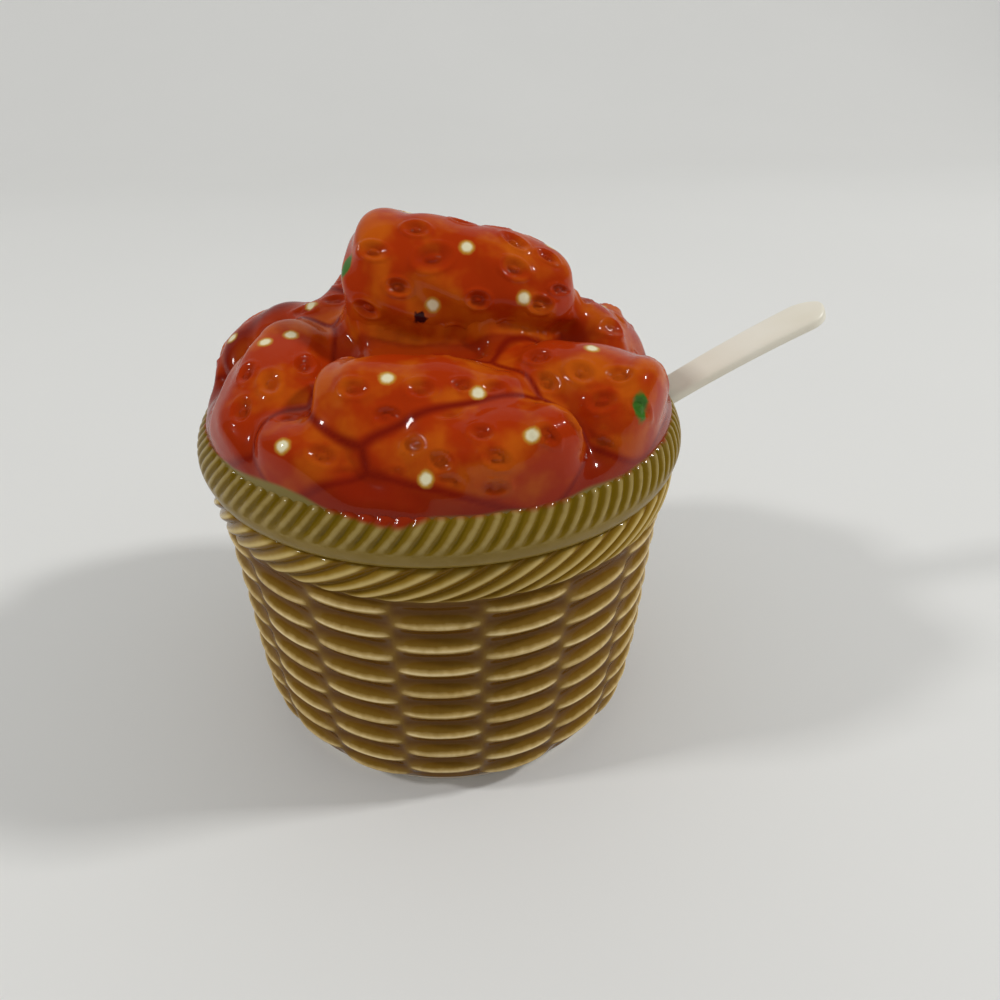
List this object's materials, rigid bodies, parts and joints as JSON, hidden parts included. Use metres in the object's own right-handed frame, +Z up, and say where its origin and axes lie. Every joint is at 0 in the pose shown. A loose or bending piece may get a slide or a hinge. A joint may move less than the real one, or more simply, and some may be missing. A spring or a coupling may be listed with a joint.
{
  "type": "jam pot",
  "caption": "Covered jam pot with a basket-weave body, a lid heaped with moulded strawberries, a berry knob and a small spoon that leans out through a notch in the lid rim.",
  "frame": {"origin": "centre of the flat foot, on the surface that the pot stands on", "axes": "+Z up, +X out through the spoon notch along the spoon's level direction"},
  "size_m": [0.1221, 0.09, 0.0984],
  "materials": {
    "basket_glaze": "gloss",
    "berry_glaze": "gloss",
    "spoon_plastic": "satin"
  },
  "bodies": {
    "pot": {"pot": "basket_glaze"},
    "lid": {"lid": "berry_glaze", "berry_knob": "berry_glaze"},
    "spoon": {"spoon": "spoon_plastic"}
  },
  "joints": [
    {"name": "lid_lift", "type": "slide", "parent": "pot", "child": "lid", "axis": [0, 0, 1], "range_m": [0, 0.085]},
    {"name": "spoon_draw", "type": "slide", "parent": "pot", "child": "spoon", "axis": [0.866, 0, 0.5], "range_m": [0, 0.042]}
  ]
}
